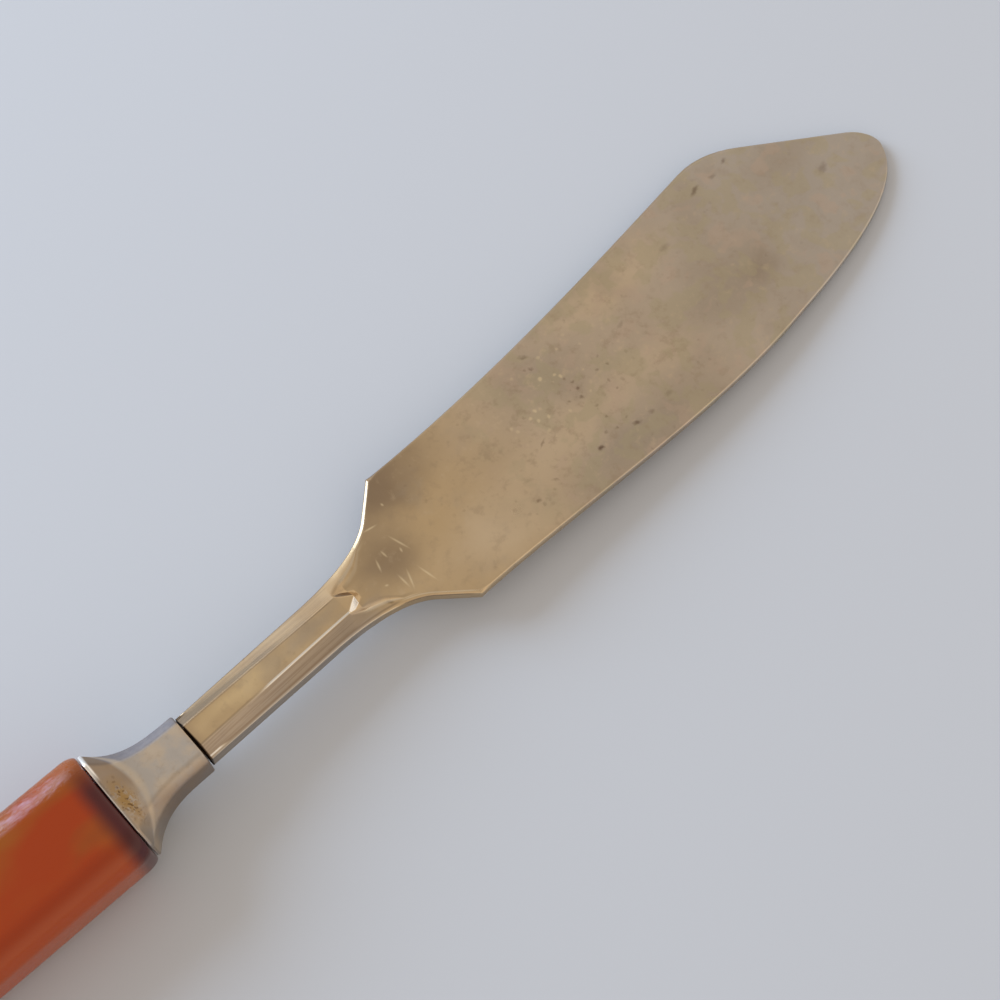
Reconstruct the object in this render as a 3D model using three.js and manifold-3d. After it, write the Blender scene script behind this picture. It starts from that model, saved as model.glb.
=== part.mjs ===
// A butter knife: a flat blade with a bevelled neck and a hidden tang, a bell-shaped ferrule,
// a cast handle, and the cement that holds the tang. Millimetres.
// X runs along the handle towards the blade, Y towards the blade's spine, Z up.
// The origin is the middle of the handle's flat underside.
import * as THREE from "three";
import { mergeVertices } from "three/addons/utils/BufferGeometryUtils.js";
import Module from "manifold-3d";

const wasm = await Module();
wasm.setup();

// Handle: a bar with rounded long edges and rounded ends
const handleLength = 65;
const handleWidth = 12.2;
const handleThickness = 9.2;
const handleCorner = 3;
const frontRound = { length: 1.5, depth: 0.6 };
const buttRound = { length: 3.2, depth: 1.8 };

// Ferrule: a bevelled bar that flares from a rounded lip at the mouth to a band at the rim. Above and
// below, a crest rises to the rim inside a bow that is deepest in the middle.
const ferruleLength = 8.92;
const ferruleWall = 0.6;
const rim = { width: 11, thickness: 7.2, bevel: 1.5, band: 0.35, edge: 0.2 };
const mouth = { width: 5.8, thickness: 5.4, bevel: 0.9, lip: 0.2 };
const flarePower = 3.5;
const flareBunch = 1.6;
const crest = { height: 0.7, reach: 2.3, power: 1.2 };
const ferruleSoft = 0.3;

// Joint lines that show as dark grooves, and the play round the cement
const rimGap = 0.08;
const neckGap = 0.15;
const cementPlay = 0.1;

// Tang, and the socket it stands in
const tangLength = 38;
const tangRoot = { width: 3.6, thickness: 2.6 };
const tangEnd = { width: 2.4, thickness: 2 };
const tangChamfer = 0.4;
const socket = { width: 5.6, thickness: 4.6, chamfer: 1.1, depth: 32, overrun: 1 };

// Neck and root, seen from above: straight sides, a hollow that opens out, then straight to the heel
const neckWidth = { mouth: 5.3, root: 5.6, turn: 7.3, open: 10.9 };
const neckStraight = 15;
const rootLength = 11.3;
const rootPull = { start: 0.49, end: 0.82 };
const flankLength = 3.2;

// Neck, seen along its length: a raised panel that ends in a point, and slopes that run on beyond it
// as two ribs until they meet the blade's edges
const panelLength = 18.6;
const pointLength = 1.5;
const pointDrop = 0.6;
const ribLength = 2.9;
const ribBend = 0.5;

// Blade outline: each spot is a share of the blade's length and a distance from the neck's centre line
const bladeLength = 66.75;
const heelHalf = 8.25;
const spineDip = { share: 0.23, half: 7.75 };
const spineRise = { share: 0.46, half: 9.3 };
const spineShoulder = { share: 0.72, half: 11.2 };
const clipCorner = { share: 0.77, half: 11.5 };
const clipStart = { share: 0.82, half: 9.35 };
const clipEnd = { share: 0.97, half: 2.55 };
const edgeNear = { share: 0.23, half: 8.5 };
const edgeBelly = { share: 0.46, half: 10.95 };
const edgeFar = { share: 0.68, half: 9.1 };
const edgeSweep = { share: 0.82, half: 8.2 };
const edgeTurn = { share: 0.985, half: 6.3 };
const tip = { drop: 0.9, round: 1.25 };
const bladeThickness = { heel: 1.6, tip: 0.8 };
const bevelWidth = { neck: 0.3, point: 0.32, rib: 0.35, heel: 0.4, edge: 0.16 };
const bevelShare = 0.11;
const bevelFade = 1.2;

// The blade leans a little towards its spine
const bladeSet = THREE.MathUtils.degToRad(2.6);

// Smoothness of the round stretches
const cornerSteps = 8;
const endSteps = 7;
const lipSteps = 3;
const flareSteps = 14;
const flatSteps = 5;
const softSteps = 2;
const neckSteps = 5;
const rootSteps = 44;
const bladeSteps = 56;
const outlineSteps = 64;
const stationGap = 0.02;

const { lerp } = THREE.MathUtils;
const axisHeight = handleThickness / 2;
const handleFront = handleLength / 2;
const ferruleBack = handleFront + rimGap;
const mouthAt = ferruleBack + ferruleLength;
const flareLength = ferruleLength - rim.band - mouth.lip;
const bevelInset = 2 - Math.SQRT2;
const heelAt = neckStraight + rootLength + flankLength;
const tipAt = heelAt + bladeLength;
const panelEnd = neckGap + panelLength;
const pointEnd = panelEnd + pointLength;
const pointMiddle = panelEnd + pointLength / 2;
const pointFoot = pointEnd + pointDrop;
const ribEnd = pointFoot + ribLength;
const ribTurn = lerp(pointFoot, ribEnd, ribBend);
const fineFrom = heelAt + bevelFade;

// Quarter sections along the neck and blade. Corners run out from the middle: the panel's ridge, the
// foot of its point, the foot and the brow of the rib, and the bevel. Each is a share of the width
// inside the bevel and a share of the blade's thickness. Side is the height of the upright side, as a
// share of the thickness too.
const flatCorners = [[0.03, 1], [0.17, 1], [0.93, 1], [0.965, 1], [1, 0.98]];
const bevelMiddle = lerp(bevelWidth.neck, bevelWidth.point, 0.5);
const section = (at, bevel, side, ...corners) => ({ at, bevel, side, corners });
const sections = [
  section(neckGap, bevelWidth.neck, 1.3, [0.53, 3], [0.65, 2.63], [0.77, 2.26], [0.88, 1.92], [1, 1.55]),
  section(panelEnd, bevelWidth.neck, 1, [0.4, 2.1], [0.44, 2.04], [0.5, 1.95], [0.56, 1.86], [1, 1.2]),
  section(pointMiddle, bevelMiddle, 0.97, [0.2, 1.95], [0.42, 1.42], [0.48, 1.4], [0.64, 1.71], [1, 1.17]),
  section(pointEnd, bevelWidth.point, 0.93, [0.03, 1.8], [0.27, 1.02], [0.52, 1], [0.7, 1.57], [1, 1.13]),
  section(pointFoot, bevelWidth.point, 0.9, [0.03, 1], [0.2, 1], [0.54, 1], [0.73, 1.48], [1, 1.11]),
  section(ribTurn, bevelWidth.rib, 0.84, [0.03, 1], [0.17, 1], [0.64, 1], [0.82, 1.27], [1, 1.04]),
  section(ribEnd, bevelWidth.heel, 0.78, ...flatCorners),
  section(heelAt, bevelWidth.heel, 0.75, ...flatCorners),
  section(fineFrom, bevelWidth.edge, 0.5, ...flatCorners),
];
const barShares = [0.2, 0.4, 0.6, 0.8, 1];

// The blade also droops until its tip meets the table that the handle lies on
const bladeDroop = Math.asin((axisHeight - bladeThickness.tip / 2) / tipAt);
const bladeTurn = new THREE.Euler(0, bladeDroop, bladeSet, "ZYX");

// A ring of points round the handle's axis, one for each [y, z] of an outline
function ringAt(x, outline) {
  return outline.map(([y, z]) => new THREE.Vector3(x, y, axisHeight + z));
}

// The same for the neck and blade, whose own axis leaves the mouth at an angle
function leaningRing(along, outline) {
  const pivot = new THREE.Vector3(mouthAt, 0, axisHeight);
  return outline.map(([y, z]) => new THREE.Vector3(along, y, z).applyEuler(bladeTurn).add(pivot));
}

// The neck's first ring stands square to the handle, so that the groove at the mouth is even
function mouthRing(outline) {
  return leaningRing(neckGap, outline).map((point) => point.setX(mouthAt + neckGap));
}

// Rectangle with rounded corners, anticlockwise from its lower right corner
function roundedRectangle(width, thickness, corner) {
  const points = [];
  for (let quarter = 0; quarter < 4; quarter++) {
    const sideY = quarter === 0 || quarter === 1 ? 1 : -1;
    const sideZ = quarter === 1 || quarter === 2 ? 1 : -1;
    for (let step = 0; step <= cornerSteps; step++) {
      const angle = (quarter - 1 + step / cornerSteps) * (Math.PI / 2);
      points.push([
        sideY * (width / 2 - corner) + corner * Math.cos(angle),
        sideZ * (thickness / 2 - corner) + corner * Math.sin(angle),
      ]);
    }
  }
  return points;
}

// Whole outline from one quarter of it, whose points run out from the middle
function fourQuarters(middle, quarter) {
  const right = quarter.map(([y, z]) => [middle + y, z]).reverse();
  const left = quarter.map(([y, z]) => [middle - y, z]);
  const upper = [...right, ...left];
  const lower = upper.map(([y, z]) => [y, -z]).reverse();
  return [...upper, ...lower];
}

// Flat bar with chamfered edges, on as many points as the neck's section
function barSection(width, thickness, chamfer) {
  const flat = barShares.map((share) => [share * (width / 2 - chamfer), thickness / 2]);
  return fourQuarters(0, [...flat, [width / 2, thickness / 2 - chamfer]]);
}

// Skin over a row of rings: capped at both ends, or closed on itself as a tube
function loft(rings, closed = false) {
  const count = rings[0].length;
  const index = [];
  const spans = closed ? rings.length : rings.length - 1;
  for (let ring = 0; ring < spans; ring++) {
    const here = ring * count;
    const next = ((ring + 1) % rings.length) * count;
    for (let point = 0; point < count; point++) {
      const after = (point + 1) % count;
      index.push(here + point, here + after, next + after);
      index.push(here + point, next + after, next + point);
    }
  }
  const last = (rings.length - 1) * count;
  for (let point = 1; point < count - 1 && !closed; point++) {
    index.push(0, point + 1, point);
    index.push(last, last + point, last + point + 1);
  }
  const geometry = new THREE.BufferGeometry().setFromPoints(rings.flat());
  geometry.setIndex(index);
  return geometry;
}

function toSolid(geometry) {
  const merged = mergeVertices(geometry);
  return new wasm.Manifold(
    new wasm.Mesh({
      numProp: 3,
      vertProperties: new Float32Array(merged.attributes.position.array),
      triVerts: new Uint32Array(merged.index.array),
    }),
  );
}

function toGeometry(solid) {
  const mesh = solid.getMesh();
  const geometry = new THREE.BufferGeometry();
  geometry.setAttribute("position", new THREE.BufferAttribute(mesh.vertProperties, 3));
  geometry.setIndex(new THREE.BufferAttribute(mesh.triVerts, 1));
  return geometry;
}

// Block the shape of the socket, drawn in by inset, between two places along the handle
function socketBlock(from, to, inset) {
  const section = barSection(socket.width - 2 * inset, socket.thickness - 2 * inset, socket.chamfer);
  return loft([ringAt(from, section), ringAt(to, section)]);
}

// One end of the handle: each ring is drawn in by a quarter of an ellipse
function handleEnd(end, round) {
  const rings = [];
  for (let step = 0; step <= endSteps; step++) {
    const angle = (step / endSteps) * (Math.PI / 2);
    const inset = round.depth * (1 - Math.sin(angle));
    const x = end * (handleFront - round.length * (1 - Math.cos(angle)));
    const outline = roundedRectangle(
      handleWidth - 2 * inset,
      handleThickness - 2 * inset,
      handleCorner - inset,
    );
    rings.push(ringAt(x, outline));
  }
  return rings;
}

function handleSolid() {
  const bar = loft([...handleEnd(-1, buttRound), ...handleEnd(1, frontRound).reverse()]);
  const bore = socketBlock(handleFront - socket.depth, handleFront + socket.overrun, 0);
  return toSolid(bar).subtract(toSolid(bore));
}

// A corner turned into a short curve between the points before and after it
function eased(before, corner, after) {
  const [start, here, end] = [before, corner, after].map(([y, z]) => new THREE.Vector2(y, z));
  const curve = new THREE.QuadraticBezierCurve(start, here, end);
  return curve.getPoints(softSteps).map(({ x, y }) => [x, y]);
}

// Height of the crest at a distance off the rim's band and a place across the ferrule
function crestAt(off, across) {
  const bow = Math.max(0, 1 - ((2 * across) / rim.width) ** 2);
  if (off >= crest.reach * bow) return 0;
  return crest.height * Math.sqrt(bow) * (1 - off / (crest.reach * bow)) ** crest.power;
}

// The ferrule's outline at a share of the way from its band to its lip, drawn in by inset
function ferruleOutline(share, inset) {
  const flare = (1 - share) ** flarePower;
  const side = lerp(mouth.width, rim.width, flare) / 2 - inset;
  const top = lerp(mouth.thickness, rim.thickness, flare) / 2 - inset;
  const bevel = lerp(mouth.bevel, rim.bevel, flare) - bevelInset * inset;
  const flat = side - bevel;
  const foot = top - bevel;
  const slant = ferruleSoft * Math.SQRT1_2;
  const quarter = [];
  for (let step = 0; step < flatSteps; step++) {
    quarter.push([((step + 0.5) / flatSteps) * (flat - ferruleSoft), top]);
  }
  quarter.push(...eased([flat - ferruleSoft, top], [flat, top], [flat + slant, top - slant]));
  quarter.push(...eased([side - slant, foot + slant], [side, foot], [side, foot - ferruleSoft]));
  const off = share * flareLength;
  return fourQuarters(0, quarter.map(([across, up]) => [across, up + crestAt(off, across)]));
}

// Rings from the end of the rim's band to the start of the lip, drawn in by inset
function flareRings(inset) {
  const rings = [];
  for (let step = 0; step <= flareSteps; step++) {
    const share = (step / flareSteps) ** flareBunch;
    rings.push(ringAt(ferruleBack + rim.band + share * flareLength, ferruleOutline(share, inset)));
  }
  return rings;
}

// The lip turns in by a quarter of a circle
function lipRings() {
  const rings = [];
  for (let step = 1; step <= lipSteps; step++) {
    const angle = (step / lipSteps) * (Math.PI / 2);
    const x = mouthAt - mouth.lip * (1 - Math.sin(angle));
    rings.push(ringAt(x, ferruleOutline(1, mouth.lip * (1 - Math.cos(angle)))));
  }
  return rings;
}

function ferruleGeometry() {
  const outside = [
    ringAt(ferruleBack, ferruleOutline(0, rim.edge)),
    ringAt(ferruleBack + rim.edge, ferruleOutline(0, 0)),
    ...flareRings(0),
    ...lipRings(),
  ];
  const inside = [
    ringAt(mouthAt, ferruleOutline(1, ferruleWall)),
    ...flareRings(ferruleWall).reverse(),
    ringAt(ferruleBack, ferruleOutline(0, ferruleWall)),
  ];
  return loft([...outside, ...inside], true);
}

// The tang from its end to its root, grown by play on every side
function tangRings(play) {
  const ring = (x, { width, thickness }) =>
    ringAt(x, barSection(width + 2 * play, thickness + 2 * play, tangChamfer));
  return [ring(mouthAt - tangLength - play, tangEnd), ring(mouthAt + neckGap, tangRoot)];
}

// Fills the ferrule's hollow and the socket, less the room the tang takes
function cementSolid() {
  const inset = ferruleWall + cementPlay;
  const back = handleFront + cementPlay;
  const head = loft([ringAt(back, ferruleOutline(0, inset)), ...flareRings(inset)]);
  const stem = socketBlock(handleFront - socket.depth + cementPlay, back + rim.band, cementPlay);
  return toSolid(head).add(toSolid(stem)).subtract(toSolid(loft(tangRings(cementPlay))));
}

// One side of the neck, from the mouth to the heel
function neckPath(side) {
  const path = new THREE.Path();
  const rootEnd = neckStraight + rootLength;
  path.moveTo(neckGap, (side * neckWidth.mouth) / 2);
  path.lineTo(neckStraight, (side * neckWidth.root) / 2);
  path.bezierCurveTo(
    neckStraight + rootPull.start * rootLength, (side * neckWidth.root) / 2,
    neckStraight + rootPull.end * rootLength, (side * neckWidth.turn) / 2,
    rootEnd, (side * neckWidth.open) / 2,
  );
  path.lineTo(heelAt, side * heelHalf);
  return path;
}

const spotAt = (spot, side) => [heelAt + spot.share * bladeLength, side * spot.half];

// Spine side of the outline, from the mouth to the tip
function spineCurve() {
  const path = neckPath(1);
  path.bezierCurveTo(...spotAt(spineDip, 1), ...spotAt(spineRise, 1), ...spotAt(spineShoulder, 1));
  path.quadraticCurveTo(...spotAt(clipCorner, 1), ...spotAt(clipStart, 1));
  path.lineTo(...spotAt(clipEnd, 1));
  path.quadraticCurveTo(tipAt, tip.round, tipAt, -tip.drop);
  return path.getPoints(outlineSteps);
}

// Cutting side of the outline, from the mouth to the tip
function edgeCurve() {
  const path = neckPath(-1);
  path.bezierCurveTo(...spotAt(edgeNear, -1), ...spotAt(edgeBelly, -1), ...spotAt(edgeFar, -1));
  path.bezierCurveTo(...spotAt(edgeSweep, -1), ...spotAt(edgeTurn, -1), tipAt, -tip.drop);
  return path.getPoints(outlineSteps);
}

// Distance of a curve from the centre line at a place along the blade
function curveAt(points, along) {
  const next = Math.max(1, points.findIndex((point) => point.x >= along));
  const [from, to] = [points[next - 1], points[next]];
  return lerp(from.y, to.y, (along - from.x) / (to.x - from.x));
}

// Places along the neck and blade: one at each section, and more in between where the outline bends
function bladeStations() {
  const stations = sections.map(({ at }) => at);
  for (let step = 0; step < neckSteps; step++) {
    stations.push(lerp(neckGap, neckStraight, step / neckSteps));
  }
  for (let step = 0; step < rootSteps; step++) {
    stations.push(lerp(neckStraight, heelAt, step / rootSteps));
  }
  for (let step = 0; step < bladeSteps; step++) {
    stations.push(lerp(tipAt, heelAt, (1 - step / bladeSteps) ** 2));
  }
  stations.sort((a, b) => a - b);
  return stations.filter((at, index) => index === 0 || at - stations[index - 1] > stationGap);
}

// Section at a place along the neck, between the two that it lies between
function quarterAt(along) {
  const next = sections.findIndex((section) => section.at > along);
  if (next < 0) return sections.at(-1);
  const [from, to] = [sections[next - 1], sections[next]];
  const between = (a, b) => lerp(a, b, (along - from.at) / (to.at - from.at));
  const corners = from.corners.map(([across, up], corner) => [
    between(across, to.corners[corner][0]),
    between(up, to.corners[corner][1]),
  ]);
  return { bevel: between(from.bevel, to.bevel), side: between(from.side, to.side), corners };
}

// The whole section there, sized to the outline and to the blade's taper
function bladeSection(along, low, high) {
  const { bevel, side, corners } = quarterAt(along);
  const half = (high - low) / 2;
  const inner = half - Math.min(bevel, bevelShare * half);
  const taper = Math.max(0, (along - heelAt) / bladeLength);
  const face = lerp(bladeThickness.heel, bladeThickness.tip, taper) / 2;
  const quarter = corners.map(([across, up]) => [across * inner, up * face]);
  return fourQuarters((low + high) / 2, [...quarter, [half, side * face]]);
}

function bladeGeometry() {
  const upper = spineCurve();
  const lower = edgeCurve();
  const sectionAt = (along) => bladeSection(along, curveAt(lower, along), curveAt(upper, along));
  const [first, ...others] = bladeStations();
  const neckAndBlade = others.map((along) => leaningRing(along, sectionAt(along)));
  return loft([...tangRings(0), mouthRing(sectionAt(first)), ...neckAndBlade]);
}

function piece(name, geometry, material) {
  const mesh = new THREE.Mesh(geometry, new THREE.MeshStandardMaterial(material));
  mesh.name = name;
  return mesh;
}

const group = new THREE.Group();
group.add(
  piece("blade", bladeGeometry(), { color: 0xa8967a, roughness: 0.38, metalness: 1 }),
  piece("ferrule", ferruleGeometry(), { color: 0xa39784, roughness: 0.34, metalness: 1 }),
  piece("handle", toGeometry(handleSolid()), { color: 0x8f3b1b, roughness: 0.22, metalness: 0 }),
  piece("cement", toGeometry(cementSolid()), { color: 0x4a3a2c, roughness: 0.9, metalness: 0 }),
);
export default group;
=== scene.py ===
"""A tarnished plated butter knife with a marbled cast handle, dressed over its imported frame.

Sizes are in millimetres until a mesh or a lamp is made. The frame is the part's own: X runs along the
handle towards the blade, Y towards the blade's spine, and Z up from the table.
"""
import math

import bpy
from mathutils import Euler, Matrix, Vector


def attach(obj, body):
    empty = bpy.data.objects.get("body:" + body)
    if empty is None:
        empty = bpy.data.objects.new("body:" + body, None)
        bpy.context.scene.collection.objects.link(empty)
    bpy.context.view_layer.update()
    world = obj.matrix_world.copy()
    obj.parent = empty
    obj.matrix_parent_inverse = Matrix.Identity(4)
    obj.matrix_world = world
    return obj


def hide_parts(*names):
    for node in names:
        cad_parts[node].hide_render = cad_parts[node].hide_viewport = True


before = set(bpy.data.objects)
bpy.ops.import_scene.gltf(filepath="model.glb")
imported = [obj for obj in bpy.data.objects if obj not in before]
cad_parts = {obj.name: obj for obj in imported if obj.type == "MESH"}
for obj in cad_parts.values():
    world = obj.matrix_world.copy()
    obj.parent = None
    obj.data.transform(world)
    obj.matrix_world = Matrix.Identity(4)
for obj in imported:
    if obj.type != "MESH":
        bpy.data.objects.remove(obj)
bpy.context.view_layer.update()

MM = 0.001

# Handle: a bar with rounded long edges and rounded ends
HANDLE_LENGTH = 65
HANDLE_WIDTH = 12.2
HANDLE_THICKNESS = 9.2
HANDLE_CORNER = 3
FRONT_ROUND = {"length": 1.5, "depth": 0.6}
BUTT_ROUND = {"length": 3.2, "depth": 1.8}
SOCKET = {"width": 5.6, "thickness": 4.6, "corner": 1.1, "depth": 32}

# Ferrule: a bevelled bar that flares from a rounded lip at the mouth to a band at the rim. Above and below,
# a crest rises to the rim inside a bow that is deepest in the middle.
FERRULE_LENGTH = 8.92
FERRULE_WALL = 0.6
RIM = {"width": 11, "thickness": 7.2, "bevel": 1.5, "band": 0.35, "edge": 0.2}
MOUTH = {"width": 5.8, "thickness": 5.4, "bevel": 0.9, "lip": 0.2}
FLARE_POWER = 3.5
FLARE_BUNCH = 1.6
CREST = {"height": 0.7, "reach": 2.3, "power": 1.2}
FERRULE_SOFT = 0.3

# Joint lines
RIM_GAP = 0.08
NECK_GAP = 0.15

# Tang inside the handle
TANG_LENGTH = 38
TANG_ROOT = {"width": 3.6, "thickness": 2.6}
TANG_END = {"width": 2.4, "thickness": 2}
TANG_CHAMFER = 0.4

# Neck and root, seen from above
NECK_WIDTH = {"mouth": 5.3, "root": 5.6, "turn": 7.3, "open": 10.9}
NECK_STRAIGHT = 15
ROOT_LENGTH = 11.3
ROOT_PULL = {"start": 0.49, "end": 0.82}
FLANK_LENGTH = 3.2

# Neck, seen along its length: a raised panel that ends in a point, and slopes that run on beyond it
# as two ribs until they meet the blade's edges
PANEL_LENGTH = 18.6
POINT_LENGTH = 1.5
POINT_DROP = 0.6
RIB_LENGTH = 2.9
RIB_BEND = 0.5

# Blade outline: shares of the blade's length, and distances from the neck's centre line
BLADE_LENGTH = 66.75
HEEL_HALF = 8.25
SPINE_BEND = [(0.23, 7.75), (0.46, 9.3), (0.72, 11.2)]
CLIP_CORNER = [(0.77, 11.5), (0.82, 9.35)]
CLIP_END = (0.97, 2.55)
EDGE_BEND = [(0.23, 8.5), (0.46, 10.95), (0.68, 9.1)]
EDGE_SWEEP = [(0.82, 8.2), (0.985, 6.3)]
TIP = {"drop": 0.9, "round": 1.25}
BLADE_THICKNESS = {"heel": 1.6, "tip": 0.8}
BEVEL_WIDTH = {"neck": 0.3, "point": 0.32, "rib": 0.35, "heel": 0.4, "edge": 0.16}
BEVEL_SHARE = 0.11
BEVEL_FADE = 1.2
BLADE_SET = math.radians(2.6)

# Softness of the metal's edges, for each corner of the neck's section from the middle out. A soft corner
# has one point more than it has steps, and takes no more than a share of the sides that it joins.
CORNER_RADII = [0.16, 0.12, 0.35, 0.35, 0.14, 0.14]
SOFT_STEPS = 3
SOFT_LIMIT = 0.45
BAR_RADII = [0.1] * len(CORNER_RADII)
SKIN = 0.03

# Smoothness of the round stretches
CORNER_STEPS = 14
END_STEPS = 16
BODY_STEPS = 8
FLARE_STEPS = 36
FLAT_STEPS = 12
LIP_STEPS = 6
NECK_STEPS = 12
ROOT_STEPS = 110
BLADE_STEPS = 84
CURVE_STEPS = 60
STATION_GAP = 0.02
MOUTH_EASE = 0.05

AXIS_HEIGHT = HANDLE_THICKNESS / 2
HANDLE_FRONT = HANDLE_LENGTH / 2
FERRULE_BACK = HANDLE_FRONT + RIM_GAP
MOUTH_AT = FERRULE_BACK + FERRULE_LENGTH
FLARE_LENGTH = FERRULE_LENGTH - RIM["band"] - MOUTH["lip"]
POINT_BEVEL = (BEVEL_WIDTH["neck"] + BEVEL_WIDTH["point"]) / 2
HEEL_AT = NECK_STRAIGHT + ROOT_LENGTH + FLANK_LENGTH
TIP_AT = HEEL_AT + BLADE_LENGTH
PANEL_END = NECK_GAP + PANEL_LENGTH
POINT_END = PANEL_END + POINT_LENGTH
POINT_MIDDLE = PANEL_END + POINT_LENGTH / 2
POINT_FOOT = POINT_END + POINT_DROP
RIB_END = POINT_FOOT + RIB_LENGTH
RIB_TURN = POINT_FOOT + RIB_BEND * RIB_LENGTH
FINE_FROM = HEEL_AT + BEVEL_FADE

# How much a bevel at 45 degrees narrows for each millimetre that its outline is drawn in
BEVEL_INSET = 2 - math.sqrt(2)

# Quarter sections along the neck and blade: place, width of the bevel, height of the upright side, then the
# corners from the middle out: the panel's ridge, the foot of its point, the foot and the brow of the rib,
# and the bevel. A corner is a share of the width inside the bevel and a share of the blade's thickness. The
# side's height is a share of the thickness too.
FLAT_CORNERS = [(0.03, 1), (0.17, 1), (0.93, 1), (0.965, 1), (1, 0.98)]
SECTIONS = [
    (NECK_GAP, BEVEL_WIDTH["neck"], 1.3, [(0.53, 3), (0.65, 2.63), (0.77, 2.26), (0.88, 1.92), (1, 1.55)]),
    (PANEL_END, BEVEL_WIDTH["neck"], 1, [(0.4, 2.1), (0.44, 2.04), (0.5, 1.95), (0.56, 1.86), (1, 1.2)]),
    (POINT_MIDDLE, POINT_BEVEL, 0.97, [(0.2, 1.95), (0.42, 1.42), (0.48, 1.4), (0.64, 1.71), (1, 1.17)]),
    (POINT_END, BEVEL_WIDTH["point"], 0.93, [(0.03, 1.8), (0.27, 1.02), (0.52, 1), (0.7, 1.57), (1, 1.13)]),
    (POINT_FOOT, BEVEL_WIDTH["point"], 0.9, [(0.03, 1), (0.2, 1), (0.54, 1), (0.73, 1.48), (1, 1.11)]),
    (RIB_TURN, BEVEL_WIDTH["rib"], 0.84, [(0.03, 1), (0.17, 1), (0.64, 1), (0.82, 1.27), (1, 1.04)]),
    (RIB_END, BEVEL_WIDTH["heel"], 0.78, FLAT_CORNERS),
    (HEEL_AT, BEVEL_WIDTH["heel"], 0.75, FLAT_CORNERS),
    (FINE_FROM, BEVEL_WIDTH["edge"], 0.5, FLAT_CORNERS),
]
BAR_SHARES = [0.2, 0.4, 0.6, 0.8, 1]

# Where the plate is painted bright or dull: corner, side of the blade, from, to, how much. Bright stretches
# are painted highlights and glints, partly real rubbing; those less than 0 are painted shade along edges.
# Each stretch fades out towards both of its ends, so one that is full at the mouth or the tip runs past it.
SPINE_SIDE = 1
EDGE_SIDE = -1
RIDGE, POINT, FOOT, BROW, SHOULDER, SIDE = range(6)
STRETCH_FADE = 1
BEFORE_MOUTH = NECK_GAP - STRETCH_FADE
BEYOND_TIP = TIP_AT + STRETCH_FADE
SHEEN_AND_RUB_STRETCHES = [
    (RIDGE, SPINE_SIDE, BEFORE_MOUTH, PANEL_END, -0.7),
    (RIDGE, EDGE_SIDE, BEFORE_MOUTH, 8, -0.4),
    (FOOT, SPINE_SIDE, 20, 25, 0.25),
    (FOOT, EDGE_SIDE, 20, 25, -0.35),
    (BROW, SPINE_SIDE, 19.5, 25.5, 0.45),
    (BROW, EDGE_SIDE, 19.5, 25.5, 0.45),
    (SHOULDER, EDGE_SIDE, BEFORE_MOUTH, 2.2, 1),
    (SHOULDER, EDGE_SIDE, 1.5, 24, -0.6),
    (SHOULDER, EDGE_SIDE, 22.5, 30, 0.5),
    (SHOULDER, SPINE_SIDE, 23, HEEL_AT, 0.2),
    (SHOULDER, SPINE_SIDE, HEEL_AT, BEYOND_TIP, -0.6),
    (SHOULDER, EDGE_SIDE, HEEL_AT, BEYOND_TIP, 0.15),
    (SIDE, EDGE_SIDE, BEFORE_MOUTH, 24, 0.4),
    (SIDE, EDGE_SIDE, 22.5, HEEL_AT, -1),
]

# Flanks of the panel's point, which start a little past the panel's end: a painted glint on the edge side
# and painted shade on the spine side
FLANK_AFTER = 0.1
POINT_FLANK = (PANEL_END + FLANK_AFTER, POINT_END)

# The blade's own axis leaves the ferrule's mouth at an angle, and its tip meets the table
BLADE_DROOP = math.asin((AXIS_HEIGHT - BLADE_THICKNESS["tip"] / 2) / TIP_AT)
BLADE_TURN = (0, BLADE_DROOP, BLADE_SET)
BLADE_ORIGIN = Vector((MOUTH_AT, 0, AXIS_HEIGHT))
BLADE_PLACE = Matrix.Translation(BLADE_ORIGIN) @ Euler(BLADE_TURN).to_matrix().to_4x4()


def lerp(start, end, share):
    return start + (end - start) * share


def ring_at(x, outline):
    """Points round the handle's axis, one for each (y, z) of an outline."""
    return [Vector((x, y, AXIS_HEIGHT + z)) for y, z in outline]


def leaning_ring(along, outline):
    """The same round the blade's own axis."""
    return [BLADE_PLACE @ Vector((along, y, z)) for y, z in outline]


def mouth_ring(outline):
    """The neck's first ring, square to the handle, so that the groove at the mouth is even."""
    return [Vector((MOUTH_AT + NECK_GAP, point.y, point.z)) for point in leaning_ring(NECK_GAP, outline)]


def rounded_rectangle(width, thickness, corner):
    """Outline of a rectangle with rounded corners, anticlockwise from its lower right corner."""
    points = []
    for quarter, (side_y, side_z) in enumerate([(1, -1), (1, 1), (-1, 1), (-1, -1)]):
        for step in range(CORNER_STEPS + 1):
            angle = (quarter - 1 + step / CORNER_STEPS) * math.pi / 2
            y = side_y * (width / 2 - corner) + corner * math.cos(angle)
            z = side_z * (thickness / 2 - corner) + corner * math.sin(angle)
            points.append((y, z))
    return points


def four_quarters(middle, quarter):
    """Whole outline from one quarter of it, whose points run out from the middle."""
    right = [(middle + y, z) for y, z in reversed(quarter)]
    left = [(middle - y, z) for y, z in quarter]
    upper = right + left
    return upper + [(y, -z) for y, z in reversed(upper)]


def eased(before, corner, after):
    """A corner turned into a short curve between the points before and after it."""
    start, here, end = Vector(before), Vector(corner), Vector(after)
    shares = [step / SOFT_STEPS for step in range(SOFT_STEPS + 1)]
    return [tuple(start.lerp(here, share).lerp(here.lerp(end, share), share)) for share in shares]


def softened(outline, quarter_radii):
    """The outline with each corner turned into a short curve."""
    points = []
    half_radii = quarter_radii[::-1] + quarter_radii
    for index, (corner, radius) in enumerate(zip(outline, half_radii + half_radii)):
        here = Vector(corner)
        before = Vector(outline[index - 1]) - here
        after = Vector(outline[(index + 1) % len(outline)]) - here
        start = here + before * min(SOFT_LIMIT, radius / before.length)
        end = here + after * min(SOFT_LIMIT, radius / after.length)
        points += eased(start, here, end)
    return points


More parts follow.
